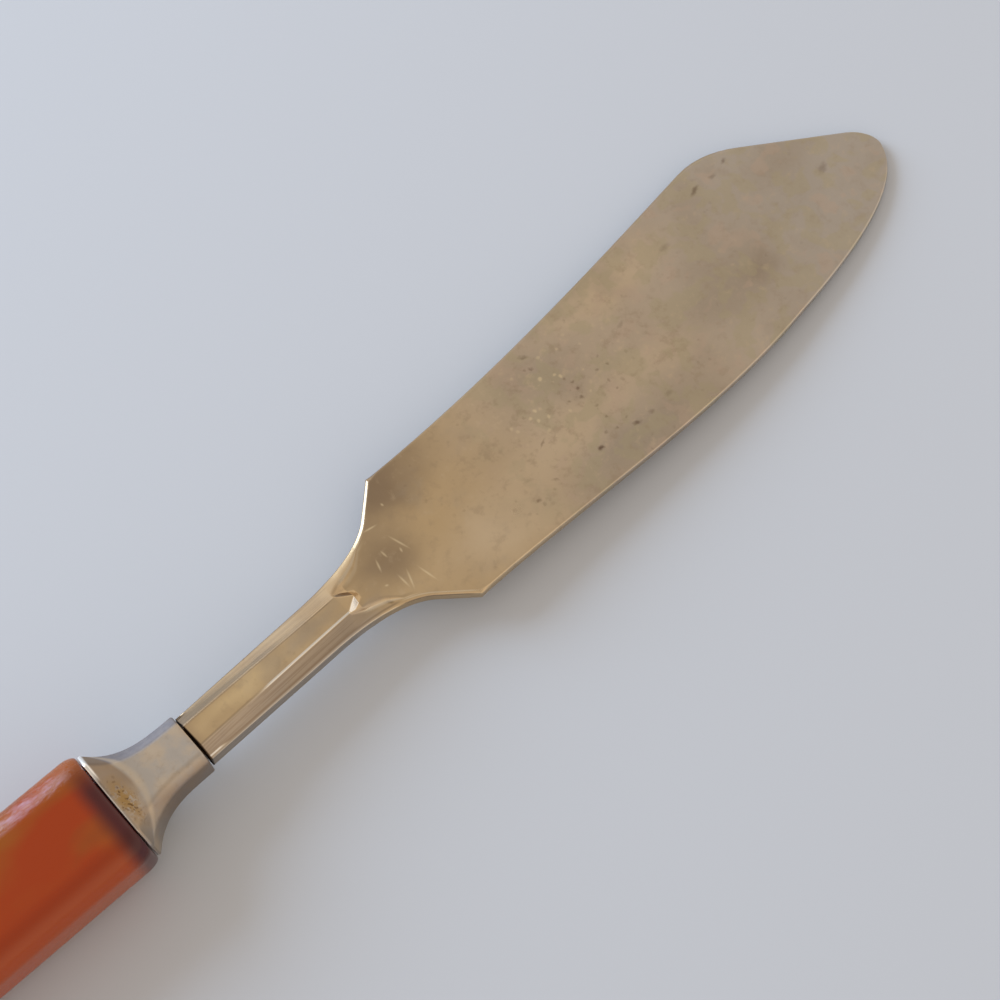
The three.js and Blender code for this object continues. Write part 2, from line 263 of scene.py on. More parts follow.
def bezier(points):
    """Points along one Bezier curve of any order, without its first."""
    made = []
    for step in range(1, CURVE_STEPS + 1):
        row = [Vector(point) for point in points]
        while len(row) > 1:
            row = [start.lerp(end, step / CURVE_STEPS) for start, end in zip(row, row[1:])]
        made.append(row[0])
    return made


def neck_outline(side):
    """One side of the neck, from the mouth to the heel."""
    half = {name: side * width / 2 for name, width in NECK_WIDTH.items()}
    root = [
        (NECK_STRAIGHT, half["root"]),
        (NECK_STRAIGHT + ROOT_PULL["start"] * ROOT_LENGTH, half["root"]),
        (NECK_STRAIGHT + ROOT_PULL["end"] * ROOT_LENGTH, half["turn"]),
        (NECK_STRAIGHT + ROOT_LENGTH, half["open"]),
    ]
    straight = [Vector((NECK_GAP, half["mouth"])), Vector(root[0])]
    return straight + bezier(root) + [Vector((HEEL_AT, side * HEEL_HALF))]


def spot_on_blade(share, half):
    return Vector((HEEL_AT + share * BLADE_LENGTH, half))


def spine_outline():
    """Spine side of the outline, from the mouth to the tip."""
    points = neck_outline(1)
    points += bezier([points[-1], *[spot_on_blade(*spot) for spot in SPINE_BEND]])
    points += bezier([points[-1], *[spot_on_blade(*spot) for spot in CLIP_CORNER]])
    points.append(spot_on_blade(*CLIP_END))
    points += bezier([points[-1], Vector((TIP_AT, TIP["round"])), Vector((TIP_AT, -TIP["drop"]))])
    return points


def edge_outline():
    """Cutting side of the outline, from the mouth to the tip."""
    points = neck_outline(-1)
    points += bezier([points[-1], *[spot_on_blade(share, -half) for share, half in EDGE_BEND]])
    sweep = [spot_on_blade(share, -half) for share, half in EDGE_SWEEP]
    points += bezier([points[-1], *sweep, Vector((TIP_AT, -TIP["drop"]))])
    return points


def outline_at(points, along):
    """Distance of an outline from the centre line at a place along the blade."""
    for start, end in zip(points, points[1:]):
        if end.x >= along:
            return lerp(start.y, end.y, (along - start.x) / (end.x - start.x))


def blade_stations():
    """Places along the neck and blade: one at each section, and more in between where the outline bends."""
    stations = [section[0] for section in SECTIONS] + [NECK_GAP + MOUTH_EASE]
    stations += [lerp(NECK_GAP, NECK_STRAIGHT, step / NECK_STEPS) for step in range(NECK_STEPS)]
    stations += [lerp(NECK_STRAIGHT, HEEL_AT, step / ROOT_STEPS) for step in range(ROOT_STEPS)]
    for step in range(BLADE_STEPS):
        stations.append(lerp(HEEL_AT, TIP_AT, (1 - math.cos(math.pi * step / BLADE_STEPS)) / 2))
    stations.sort()
    return [at for before, at in zip([0, *stations], stations) if at - before > STATION_GAP]


def section_at(along):
    """Bevel, side and corners of the section at a place along the neck and blade."""
    for (start, *first), (end, *second) in zip(SECTIONS, SECTIONS[1:]):
        if along < end:
            share = (along - start) / (end - start)
            corners = [
                (lerp(here[0], there[0], share), lerp(here[1], there[1], share))
                for here, there in zip(first[2], second[2])
            ]
            return lerp(first[0], second[0], share), lerp(first[1], second[1], share), corners
    return SECTIONS[-1][1:]


def sheen_and_rub_at(corner, side, along):
    """How brightly the four points of a softened corner are painted, from the middle outwards: painted
    highlight (partly rubbing) above 0, painted shade below 0.
    """
    # The point's flanks: a painted glint on the edge side, painted shade on the spine side
    if POINT_FLANK[0] <= along <= POINT_FLANK[1]:
        amount = 1 if side == EDGE_SIDE else -1
        if corner == RIDGE:
            return [0, 0, amount, amount]
        if corner == POINT:
            return [amount, amount, 0, 0]
    amount = 0
    for marked_corner, marked_side, start, end, strength in SHEEN_AND_RUB_STRETCHES:
        if (corner, side) == (marked_corner, marked_side):
            from_end = min(along - start, end - along)
            amount += strength * max(0, min(1, from_end / STRETCH_FADE))
    return [0, amount, amount, 0]


def section_sheen_and_wear(along):
    """How brightly each point of the softened section is painted, in the order of its outline: painted
    highlight (partly rubbing) above 0, painted shade below 0.
    """
    upper = []
    for corner in reversed(range(SIDE + 1)):
        upper += reversed(sheen_and_rub_at(corner, SPINE_SIDE, along))
    for corner in range(SIDE + 1):
        upper += sheen_and_rub_at(corner, EDGE_SIDE, along)
    return upper + upper[::-1]


def blade_section(along, low, high):
    """Softened outline of the neck or blade, a hair inside the frame's."""
    bevel, side, corners = section_at(along)
    half = (high - low) / 2 - SKIN
    inner = half - min(bevel, BEVEL_SHARE * half)
    taper = max(0, (along - HEEL_AT) / BLADE_LENGTH)
    face = lerp(BLADE_THICKNESS["heel"], BLADE_THICKNESS["tip"], taper) / 2
    quarter = [(across * inner, up * face) for across, up in corners] + [(half, side * face)]
    return softened(four_quarters((low + high) / 2, quarter), CORNER_RADII)


def bar_section(width, thickness, chamfer):
    """Flat bar with chamfered edges, on as many points as the blade's section."""
    flat = [(share * (width / 2 - chamfer), thickness / 2) for share in BAR_SHARES]
    return softened(four_quarters(0, flat + [(width / 2, thickness / 2 - chamfer)]), BAR_RADII)


def loft(name, rings, closed=False):
    """Mesh over a row of rings: capped at both ends, or closed on itself as a tube."""
    count = len(rings[0])
    faces = []
    for ring in range(len(rings) if closed else len(rings) - 1):
        here = ring * count
        following = (ring + 1) % len(rings) * count
        for point in range(count):
            after = (point + 1) % count
            faces.append((here + point, here + after, following + after, following + point))
    if not closed:
        last = (len(rings) - 1) * count
        faces.append(tuple(reversed(range(count))))
        faces.append(tuple(range(last, last + count)))
    mesh = bpy.data.meshes.new(name)
    mesh.from_pydata([point * MM for ring in rings for point in ring], [], faces)
    mesh.validate()
    return mesh


def blade_mesh():
    spine = spine_outline()
    edge = edge_outline()
    tang = [(MOUTH_AT - TANG_LENGTH, TANG_END), (MOUTH_AT + NECK_GAP, TANG_ROOT)]
    rings = [ring_at(x, bar_section(end["width"], end["thickness"], TANG_CHAMFER)) for x, end in tang]
    sheen_and_wear = [0] * sum(len(ring) for ring in rings)
    for along in blade_stations():
        outline = blade_section(along, outline_at(edge, along), outline_at(spine, along))
        rings.append(mouth_ring(outline) if along == NECK_GAP else leaning_ring(along, outline))
        sheen_and_wear += section_sheen_and_wear(along)
    mesh = loft("plated_blade", rings)
    # Painted highlights and shade along the edges, with some real rubbing, kept on each point
    mesh.attributes.new("sheen_and_wear", "FLOAT", "POINT").data.foreach_set("value", sheen_and_wear)
    return mesh


def crest_at(off, across):
    """Height of the crest at a distance off the rim's band and a place across the ferrule."""
    bow = max(0, 1 - (2 * across / RIM["width"]) ** 2)
    if off >= CREST["reach"] * bow:
        return 0
    return CREST["height"] * math.sqrt(bow) * (1 - off / (CREST["reach"] * bow)) ** CREST["power"]


def ferrule_outline(share, inset):
    """The ferrule's outline at a share of the way from its band to its lip, drawn in by inset."""
    flare = (1 - share) ** FLARE_POWER
    side = lerp(MOUTH["width"], RIM["width"], flare) / 2 - inset
    top = lerp(MOUTH["thickness"], RIM["thickness"], flare) / 2 - inset
    bevel = lerp(MOUTH["bevel"], RIM["bevel"], flare) - BEVEL_INSET * inset
    flat = side - bevel
    slant = FERRULE_SOFT * math.sqrt(0.5)
    quarter = [((step + 0.5) / FLAT_STEPS * (flat - FERRULE_SOFT), top) for step in range(FLAT_STEPS)]
    quarter += eased((flat - FERRULE_SOFT, top), (flat, top), (flat + slant, top - slant))
    foot = top - bevel
    quarter += eased((side - slant, foot + slant), (side, foot), (side, foot - FERRULE_SOFT))
    off = share * FLARE_LENGTH
    return four_quarters(0, [(across, up + crest_at(off, across)) for across, up in quarter])


def flare_rings(inset):
    """Rings from the end of the rim's band to the start of the lip, drawn in by inset."""
    rings = []
    for step in range(FLARE_STEPS + 1):
        share = (step / FLARE_STEPS) ** FLARE_BUNCH
        x = FERRULE_BACK + RIM["band"] + share * FLARE_LENGTH
        rings.append(ring_at(x, ferrule_outline(share, inset)))
    return rings


def quarter_turns(steps):
    """Sine and cosine at even steps of a quarter turn, both ends included."""
    angles = [step / steps * math.pi / 2 for step in range(steps + 1)]
    return [(math.sin(angle), math.cos(angle)) for angle in angles]


def ferrule_mesh():
    rings = []
    for sine, cosine in quarter_turns(LIP_STEPS):
        x = FERRULE_BACK + RIM["edge"] * (1 - cosine)
        rings.append(ring_at(x, ferrule_outline(0, RIM["edge"] * (1 - sine))))
    rings += flare_rings(0)
    for sine, cosine in quarter_turns(LIP_STEPS)[1:]:
        x = MOUTH_AT - MOUTH["lip"] * (1 - sine)
        rings.append(ring_at(x, ferrule_outline(1, MOUTH["lip"] * (1 - cosine))))
    rings.append(ring_at(MOUTH_AT, ferrule_outline(1, FERRULE_WALL)))
    rings += flare_rings(FERRULE_WALL)[::-1]
    rings.append(ring_at(FERRULE_BACK, ferrule_outline(0, FERRULE_WALL)))
    return loft("plated_ferrule", rings, closed=True)


def handle_end(end, round_off):
    """Rings of one end of the handle, each drawn in by a quarter of an ellipse."""
    rings = []
    for sine, cosine in quarter_turns(END_STEPS):
        inset = round_off["depth"] * (1 - sine)
        x = end * (HANDLE_FRONT - round_off["length"] * (1 - cosine))
        outline = rounded_rectangle(
            HANDLE_WIDTH - 2 * inset, HANDLE_THICKNESS - 2 * inset, HANDLE_CORNER - inset
        )
        rings.append(ring_at(x, outline))
    return rings


def handle_mesh():
    butt = handle_end(-1, BUTT_ROUND)
    front = handle_end(1, FRONT_ROUND)[::-1]
    body = []
    for step in range(1, BODY_STEPS):
        share = step / BODY_STEPS
        body.append([start.lerp(end, share) for start, end in zip(butt[-1], front[0])])
    socket = rounded_rectangle(SOCKET["width"], SOCKET["thickness"], SOCKET["corner"])
    bore = [ring_at(x, socket) for x in (HANDLE_FRONT, HANDLE_FRONT - SOCKET["depth"])]
    return loft("cast_handle", butt + body + front + bore)


def linear(red, green, blue):
    """A colour written as on a screen, from 0 to 255, in the light's own scale."""
    def channel(value):
        share = value / 255
        return share / 12.92 if share <= 0.04045 else ((share + 0.055) / 1.055) ** 2.4
    return (channel(red), channel(green), channel(blue), 1)


# Detail of the clouds that smear a place, and the share of a dot's or a spot's radius at full strength
SMEAR_DETAIL = 3
DOT_CORE = 0.3
SPOT_CORE = 0.1


class Shade:
    """A material's node tree, with short calls for the nodes that the materials share."""

    def __init__(self, name):
        self.material = bpy.data.materials.new(name)
        self.material.use_nodes = True
        self.tree = self.material.node_tree
        self.shader = self.tree.nodes["Principled BSDF"]

    def put(self, socket, value):
        if isinstance(value, bpy.types.NodeSocket):
            self.tree.links.new(value, socket)
        else:
            socket.default_value = value

    def node(self, kind, inputs, output=0, **settings):
        made = self.tree.nodes.new(kind)
        for name, value in settings.items():
            setattr(made, name, value)
        for key, value in inputs.items():
            self.put(made.inputs[key], value)
        return made.outputs[output]

    def place(self, origin, turn=(0, 0, 0)):
        """Millimetres from an origin, along axes turned from the part's own."""
        inputs = {
            "Vector": self.node("ShaderNodeTexCoord", {}, output="Object"),
            "Location": Vector(origin) * MM,
            "Rotation": turn,
            "Scale": (MM, MM, MM),
        }
        return self.node("ShaderNodeMapping", inputs, vector_type="TEXTURE")

    def axis(self, place, name):
        return self.node("ShaderNodeSeparateXYZ", {0: place}, output=name)

    def turned(self, place, degrees):
        """The place turned about the axis that stands out of the surface."""
        return self.node("ShaderNodeMapping", {"Vector": place, "Rotation": (0, 0, math.radians(degrees))})

    def noise(self, place, size, detail, roughness=0.55):
        """Cloudy values round a half. Size is one length, or a length along each axis."""
        lengths = size if isinstance(size, tuple) else (size, size, size)
        scaled = self.node("ShaderNodeVectorMath", {0: place, 1: lengths}, operation="DIVIDE")
        inputs = {"Vector": scaled, "Scale": 1, "Detail": detail, "Roughness": roughness}
        return self.node("ShaderNodeTexNoise", inputs)

    def smeared(self, place, size, reach):
        """The place pushed by clouds of a size: half of reach along each axis, give or take a quarter."""
        scaled = self.node("ShaderNodeVectorMath", {0: place, 1: (size, size, size)}, operation="DIVIDE")
        inputs = {"Vector": scaled, "Scale": 1, "Detail": SMEAR_DETAIL}
        clouds = self.node("ShaderNodeTexNoise", inputs, output="Color")
        push = {0: clouds, 1: (reach, reach, reach), 2: place}
        return self.node("ShaderNodeVectorMath", push, operation="MULTIPLY_ADD")

    def dots(self, place, pitch, radius):
        """Round dots, one to each irregular cell."""
        scaled = self.node("ShaderNodeVectorMath", {0: place, 1: (pitch, pitch, pitch)}, operation="DIVIDE")
        distance = self.node("ShaderNodeTexVoronoi", {"Vector": scaled, "Scale": 1})
        return self.fade(distance, radius / pitch, DOT_CORE * radius / pitch)

    def fade(self, value, start, end):
        """From 0 at start to 1 at end."""
        inputs = {"Value": value, "From Min": start, "From Max": end}
        return self.node("ShaderNodeMapRange", inputs, interpolation_type="SMOOTHSTEP")

    def spot(self, place, centre, radii):
        """A soft round patch: 1 at its centre and 0 outside its radii."""
        inputs = {0: place, 1: centre}
        offset = self.node("ShaderNodeVectorMath", inputs, operation="SUBTRACT")
        scaled = self.node("ShaderNodeVectorMath", {0: offset, 1: radii}, operation="DIVIDE")
        length = self.node("ShaderNodeVectorMath", {0: scaled}, output="Value", operation="LENGTH")
        return self.fade(length, 1, SPOT_CORE)

    def stroke(self, place, centre, radii, degrees):
        """A spot whose length stands at an angle to the place's own X axis."""
        centred = self.node("ShaderNodeVectorMath", {0: place, 1: centre}, operation="SUBTRACT")
        return self.spot(self.turned(centred, -degrees), (0, 0, 0), radii)

    def calc(self, operation, first, second):
        return self.node("ShaderNodeMath", {0: first, 1: second}, operation=operation)

    def times(self, first, second):
        return self.calc("MULTIPLY", first, second)

    def plus(self, first, second):
        return self.calc("ADD", first, second)

    def mix(self, factor, first, second):
        inputs = {0: factor, 6: first, 7: second}
        return self.node("ShaderNodeMix", inputs, output=2, data_type="RGBA")

    def layer(self, colour, tone, value, shows, strength):
        """The colour with a tone laid on it where a value lies within what shows, by a strength."""
        return self.mix(self.times(self.fade(value, *shows), strength), colour, tone)

    def attribute(self, name):
        return self.node("ShaderNodeAttribute", {}, output="Fac", attribute_name=name)

    def finish(self, colour, roughness, height, depth, uniform):
        """Joins the channels to the shader. Depth is what a height of 1 stands for, in millimetres."""
        bump = {"Height": height, "Distance": depth * MM, "Strength": 1}
        self.put(self.shader.inputs["Base Color"], colour)
        self.put(self.shader.inputs["Roughness"], roughness)
        self.put(self.shader.inputs["Normal"], self.node("ShaderNodeBump", bump))
        for name, value in uniform.items():
            self.put(self.shader.inputs[name], value)
        return self.material


# Tarnish of the plate, what shows where it is eaten away, and the tones of its painted highlights (partly
# rubbing) and painted shade
GOLD = linear(206, 181, 143)
KHAKI = linear(197, 181, 161)
PEWTER = linear(187, 179, 170)
SAND = linear(217, 197, 168)
OLIVE = linear(174, 161, 145)
MOSS = linear(186, 176, 146)
ROSE = linear(204, 181, 163)
BRONZE = linear(145, 126, 106)
UMBER = linear(163, 143, 121)
SLATE_SHADE = linear(158, 146, 136)
ASH_REFLECTION = linear(134, 130, 134)
DUSK_SHADE = linear(126, 103, 88)
STRAW = linear(232, 208, 164)
CREAM = linear(242, 224, 186)
SILVER = linear(250, 249, 246)
CRUST = linear(172, 140, 88)
RUST = linear(84, 56, 38)
GROOVE_DARK = linear(66, 52, 40)

# How far a patch reaches through the metal: right through
THROUGH = 9

# Blade's tone: where along it gold turns to khaki and khaki to pewter, and the layers on it. A layer comes
# up between the two values of its noise or place that "shows" gives, and tints by its strength.
KHAKI_BETWEEN = (30, 52)
PEWTER_BETWEEN = (56, 88)
CLOUDS = {"size": 6, "detail": 4}
OLIVE_CLOUDS = {"shows": (0.5, 0.72), "strength": 0.4}
PATCHES = {"size": 3.2, "detail": 2, "roughness": 0.6}
PATCHES_BETWEEN = (34, 48)
MOSS_PATCHES = {"shows": (0.5, 0.58), "strength": 0.4}
ROSE_PATCHES = {"shows": (0.44, 0.34), "strength": 0.3}
MOTTLES = {"size": 1.3, "detail": 4, "roughness": 0.65}
DARK_MOTTLES = (0.5, 0.72)
LIGHT_MOTTLES = (0.45, 0.26)
MOTTLE_STRENGTH = {"everywhere": 0.22, "more": 0.2, "middle": (50, 1, 0), "reach": (24, 16, THROUGH)}

# Soft stains on the blade: along, across, reach along, reach across, colour, strength. The first, in bronze
# at the heel's spine side, is painted shade for a dimmer reflection there, partly tarnish.
STAIN_SMEAR = {"size": 5, "reach": 4}
STAINS = [
    (29, 7, 10, 6, BRONZE, 0.85),
    (25, 0.5, 6, 5, BRONZE, 0.7),
    (6.5, 0.2, 8, 1.8, STRAW, 0.9),
    (15, 0.2, 6, 1.6, OLIVE, 0.6),
    (36, -5, 11, 6, SAND, 0.8),
    (47, -2, 14, 4, SAND, 0.6),
    (62, 7, 12, 4, SAND, 0.7),
    (60, -2.5, 8, 3, SAND, 0.4),
    (53, -7.5, 15, 4, OLIVE, 0.8),
    (50, 5, 8, 4, OLIVE, 0.5),
    (72, -1.5, 10, 6, OLIVE, 0.8),
    (75.5, -2.4, 3.5, 2.5, BRONZE, 0.3),
    (87, 5, 8, 4, OLIVE, 0.5),
]

# Short scratches at the blade's root: along, across, length, angle from the blade's length
SCRATCHES = [
    (27.3, 1.1, 2, -75),
    (27.1, -3.1, 1.9, -80),
    (24.9, -2.1, 1.4, -90),
    (25.5, -2.4, 1.75, -112),
    (26.9, 0.4, 0.5, -103),
    (25.4, 1.2, 0.8, -87),
    (24.2, 0.7, 1.2, -110),
    (26.2, 4.1, 1.3, -12),
    (28.8, 5.1, 0.35, -83),
    (23.4, -1.3, 0.35, -25),
]
SCRATCH_HALF_WIDTH = 0.16
SCRATCH_SPREAD = 0.8

# Single pits: along, across, length, width, angle from the blade's length, strength
PIT_SMEAR = {"size": 0.5, "reach": 0.6}
PITS = [
    (22.4, -2.8, 1, 0.4, -35, 0.8),
    (48.65, -5.47, 0.8, 0.6, 0, 1),
    (53.3, -6.1, 0.9, 0.5, -25, 0.8),
    (77.2, 8.45, 1.5, 0.6, 20, 0.7),
    (79.8, 8.4, 0.9, 0.5, 0, 0.4),
    (82.1, 8.9, 0.9, 0.5, 10, 0.6),
    (40.2, -5.2, 0.6, 0.4, -20, 0.6),
    (43, -4.8, 0.8, 0.4, -45, 0.4),
    (44.8, -1.1, 1.2, 0.3, 25, 0.5),
    (50.1, 7, 1, 0.5, -30, 0.5),
    (49.8, 5.5, 0.6, 0.4, -45, 0.5),
    (51.7, 0.8, 0.5, 0.4, 0, 0.7),
    (51.3, -0.2, 0.5, 0.4, -40, 0.6),
    (51.7, -1.9, 0.5, 0.4, 0, 0.4),
    (55.3, -6.2, 0.8, 0.4, -30, 0.4),
    (58, -6, 1, 0.6, 0, 0.3),
    (60, 2.8, 1.1, 0.5, 25, 0.3),
    (69.8, 5.9, 1.6, 0.7, 0, 0.3),
    (89.3, 1, 1.6, 0.8, 30, 0.4),
]
PIT_SPREAD = 0.7
PIT_STRENGTH = 0.7

# Faint dark flecks all over the blade, and light specks on its middle
FLECKS = {"pitch": 1.3, "radius": 0.26}
FLECK_CLOUDS = {"size": 6, "detail": 2}
FLECKS_SHOW = (0.4, 0.6)
FLECK_STRENGTH = {"everywhere": 0.12, "more": 0.35, "middle": (50, 0, 0), "reach": (22, 14, THROUGH)}
SPECK_SMEAR = {"size": 0.4, "reach": 0.3}
SPECKS = {"pitch": 1.1, "radius": 0.3}
SPECK_CLOUDS = {"size": 2.5, "detail": 2}
SPECKS_SHOW = (0.42, 0.5)
SPECK_PATCH = {"centre": (50, 2.5, 0), "radii": (12, 6.5, THROUGH)}
LIGHT_MARK_STRENGTH = 0.55

# Neck: how far along it its own looks reach, painted shade on its slopes on both sides of the panel, and a
# greyer painted reflection on its upright edge side
NECK_BETWEEN = (23, 17)
EDGE_SLOPE = (-1.1, -1.3)
EDGE_SLOPE_SHADE = 0.7
SPINE_SLOPE = (0.9, 1.3)
SPINE_SLOPE_SHADE = 0.6
UPRIGHT_SIDE = (-2.45, -2.6)
UPRIGHT_REFLECTION = 0.5
DRAWN_LINES = {"size": (26, 0.16, 0.16), "detail": 3}
DRAWN_ON_PANEL = 0.2
DRAWN_BRONZE = {"shows": (0.52, 0.7), "strength": 0.45}

# Painted highlight along the panel's ridge on the edge side: where it starts at the mouth, how far it drifts
# by the panel's end, how it fades off its line and past its end, and how its strength grows along it
RIDGE_AT_MOUTH = -1.25
RIDGE_DRIFT = 0.2
RIDGE_OFF = (0.16, 0.05)
RIDGE_PAST = 0.2
RIDGE_GROWS = (7, 9)
RIDGE_STRENGTH = {"least": 0.2, "more": 0.8}

# Painted highlights on edges, partly rubbing, and the darkening by the ferrule's mouth
SHEEN_AND_RUB_STRENGTH = 0.85
MOUTH_DARKENING = {"shows": (1.2, 0.2), "strength": 0.3}
MOUTH_GROOVE_DARK = (0.3, 0.17)

# Gloss and relief of the blade. Depth is what a height of 1 stands for, in millimetres.
GLOSS_CLOUDS = {"size": 8, "detail": 3}
BLADE_ROUGHNESS = {"least": 0.19, "clouds": 0.3, "sheen_and_rub": -0.12}
GRAIN = {"size": 0.35, "detail": 2}
BLADE_RELIEF = {"grain": 0.25, "drawn": 0.6, "marks": -1}
BLADE_DEPTH = 0.012


def pushed(centre, smear):
    """A centre among smeared places, which are pushed by half the reach on average."""
    return tuple(value + smear["reach"] / 2 for value in centre)


def strongest_in_middle(shade, place, strength):
    """A strength that holds everywhere, with more of it round a middle."""
    middle = shade.spot(place, strength["middle"], strength["reach"])
    return shade.plus(shade.times(middle, strength["more"]), strength["everywhere"])


def blade_tone(shade, place):
    """Base colour of the plate before anything small is laid on it."""
    along = shade.axis(place, "X")
    colour = shade.mix(shade.fade(along, *KHAKI_BETWEEN), GOLD, KHAKI)
    colour = shade.mix(shade.fade(along, *PEWTER_BETWEEN), colour, PEWTER)
    smeared = shade.smeared(place, **STAIN_SMEAR)
    for at, off, reach_along, reach_across, tone, strength in STAINS:
        stain = shade.spot(smeared, pushed((at, off, 0), STAIN_SMEAR), (reach_along, reach_across, THROUGH))
        colour = shade.mix(shade.times(stain, strength), colour, tone)
    colour = shade.layer(colour, OLIVE, shade.noise(place, **CLOUDS), **OLIVE_CLOUDS)
    patches = shade.noise(smeared, **PATCHES)
    off_heel = shade.fade(along, *PATCHES_BETWEEN)
    for tone, patch in ((MOSS, MOSS_PATCHES), (ROSE, ROSE_PATCHES)):
        strength = shade.times(off_heel, patch["strength"])
        colour = shade.layer(colour, tone, patches, patch["shows"], strength)
    mottles = shade.noise(place, **MOTTLES)
    strength = strongest_in_middle(shade, place, MOTTLE_STRENGTH)
    colour = shade.layer(colour, UMBER, mottles, DARK_MOTTLES, strength)
    return shade.layer(colour, SAND, mottles, LIGHT_MOTTLES, strength)


def blade_pits(shade, place):
    """Faint dark flecks, and larger pits at their own places."""
    ragged = shade.smeared(place, **PIT_SMEAR)
    thick = shade.fade(shade.noise(place, **FLECK_CLOUDS), *FLECKS_SHOW)
    flecks = shade.times(shade.dots(ragged, **FLECKS), thick)
    pits = shade.times(flecks, strongest_in_middle(shade, place, FLECK_STRENGTH))
    for at, off, length, width, degrees, strength in PITS:
        reach = (length * PIT_SPREAD, width * PIT_SPREAD, THROUGH)
        single = shade.stroke(ragged, pushed((at, off, 0), PIT_SMEAR), reach, degrees)
        pits = shade.calc("MAXIMUM", pits, shade.times(single, strength))
    return pits


def blade_specks(shade, place):
    """Small light specks in clusters on the middle of the blade."""
    clusters = shade.fade(shade.noise(place, **SPECK_CLOUDS), *SPECKS_SHOW)
    specks = shade.times(shade.dots(shade.smeared(place, **SPECK_SMEAR), **SPECKS), clusters)
    return shade.times(specks, shade.spot(place, **SPECK_PATCH))


def blade_scratches(shade, place):
    """Short scratches across the root of the blade."""
    scratches = 0
    for at, off, length, degrees in SCRATCHES:
        reach = (length * SCRATCH_SPREAD, SCRATCH_HALF_WIDTH, THROUGH)
        scratch = shade.stroke(place, (at, off, 0), reach, degrees)
        scratches = shade.calc("MAXIMUM", scratches, scratch)
    return scratches


def ridge_highlight(shade, along, across):
    """Painted highlight along the panel's ridge on the edge side, strongest near the panel's point."""
    ridge = shade.plus(shade.times(shade.fade(along, NECK_GAP, PANEL_END), RIDGE_DRIFT), RIDGE_AT_MOUTH)
    off = shade.node("ShaderNodeMath", {0: shade.calc("SUBTRACT", across, ridge)}, operation="ABSOLUTE")
    grown = shade.times(shade.fade(along, *RIDGE_GROWS), RIDGE_STRENGTH["more"])
    line = shade.times(shade.fade(off, *RIDGE_OFF), shade.plus(grown, RIDGE_STRENGTH["least"]))
    return shade.times(line, shade.fade(along, PANEL_END + RIDGE_PAST, PANEL_END))


def blade_material():
    shade = Shade("tarnished_blade_plate")
    place = shade.place(BLADE_ORIGIN, BLADE_TURN)
    along = shade.axis(place, "X")
    across = shade.axis(place, "Y")
    colour = blade_tone(shade, place)

    # Lengthwise lines on the neck, painted shade on its slopes on both sides of the panel, and a greyer
    # painted reflection on its upright edge side
    on_neck = shade.fade(along, *NECK_BETWEEN)
    edge_slope = shade.times(shade.fade(across, *EDGE_SLOPE), on_neck)
    spine_slope = shade.times(shade.fade(across, *SPINE_SLOPE), on_neck)
    slopes = shade.plus(shade.plus(edge_slope, spine_slope), shade.times(on_neck, DRAWN_ON_PANEL))
    drawn = shade.times(shade.noise(place, **DRAWN_LINES), slopes)
    upright = shade.times(shade.fade(across, *UPRIGHT_SIDE), on_neck)
    colour = shade.mix(shade.times(edge_slope, EDGE_SLOPE_SHADE), colour, SLATE_SHADE)
    colour = shade.mix(shade.times(upright, UPRIGHT_REFLECTION), colour, PEWTER)
    colour = shade.mix(shade.times(spine_slope, SPINE_SLOPE_SHADE), colour, BRONZE)
    colour = shade.layer(colour, BRONZE, drawn, **DRAWN_BRONZE)

    # Pits, specks and scratches
    pits = blade_pits(shade, place)
    scratches = blade_scratches(shade, place)
    light_marks = shade.calc("MAXIMUM", scratches, blade_specks(shade, place))
    colour = shade.mix(shade.times(pits, PIT_STRENGTH), colour, RUST)
    colour = shade.mix(shade.times(light_marks, LIGHT_MARK_STRENGTH), colour, CREAM)

    # Painted highlights on ridges and edges, partly rubbing, painted shade along edges, and darkening by the
    # ferrule's mouth
    sheen_and_wear = shade.attribute("sheen_and_wear")
    sheen_and_rub = shade.calc("MAXIMUM", shade.calc("MAXIMUM", sheen_and_wear, 0), ridge_highlight(shade, along, across))
    colour = shade.mix(shade.times(sheen_and_rub, SHEEN_AND_RUB_STRENGTH), colour, shade.mix(sheen_and_rub, CREAM, SILVER))
    colour = shade.mix(shade.times(sheen_and_wear, -1), colour, BRONZE)
    # Darker towards the ferrule's mouth, darkest at the groove
    colour = shade.layer(colour, UMBER, along, **MOUTH_DARKENING)
    colour = shade.mix(shade.fade(along, *MOUTH_GROOVE_DARK), colour, GROOVE_DARK)

    cloudy = shade.times(shade.noise(place, **GLOSS_CLOUDS), BLADE_ROUGHNESS["clouds"])
    roughness = shade.plus(cloudy, BLADE_ROUGHNESS["least"])
    roughness = shade.plus(roughness, shade.times(sheen_and_rub, BLADE_ROUGHNESS["sheen_and_rub"]))
    grain = shade.times(shade.noise(place, **GRAIN), BLADE_RELIEF["grain"])
    height = shade.plus(grain, shade.times(drawn, BLADE_RELIEF["drawn"]))
    height = shade.plus(height, shade.times(shade.plus(pits, scratches), BLADE_RELIEF["marks"]))
    return shade.finish(colour, roughness, height, BLADE_DEPTH, {"Metallic": 1})


# Ferrule: clouds, mottles, painted shade on the edge side, which darkens towards the mouth, and a grey
# painted reflection on the bevel of the upper spine side
FERRULE_CLOUDS = {"size": 2.6, "detail": 5}
FERRULE_KHAKI = (0.4, 0.62)
FERRULE_MOTTLES = {"size": 0.6, "detail": 5, "roughness": 0.65}
UMBER_MOTTLES = {"shows": (0.5, 0.75), "strength": 0.35}
EDGE_SHADE = {"across": (-1.8, -3), "along": (-2, 5), "strength": 0.6}
FACET_EDGE = (-0.5, -0.05)
FACET_UP = (0.8, 1.7)
FACET_MOTTLES = (0.7, 0.3)
FACET_STRENGTH = {"least": 0.85, "more": 0.15}

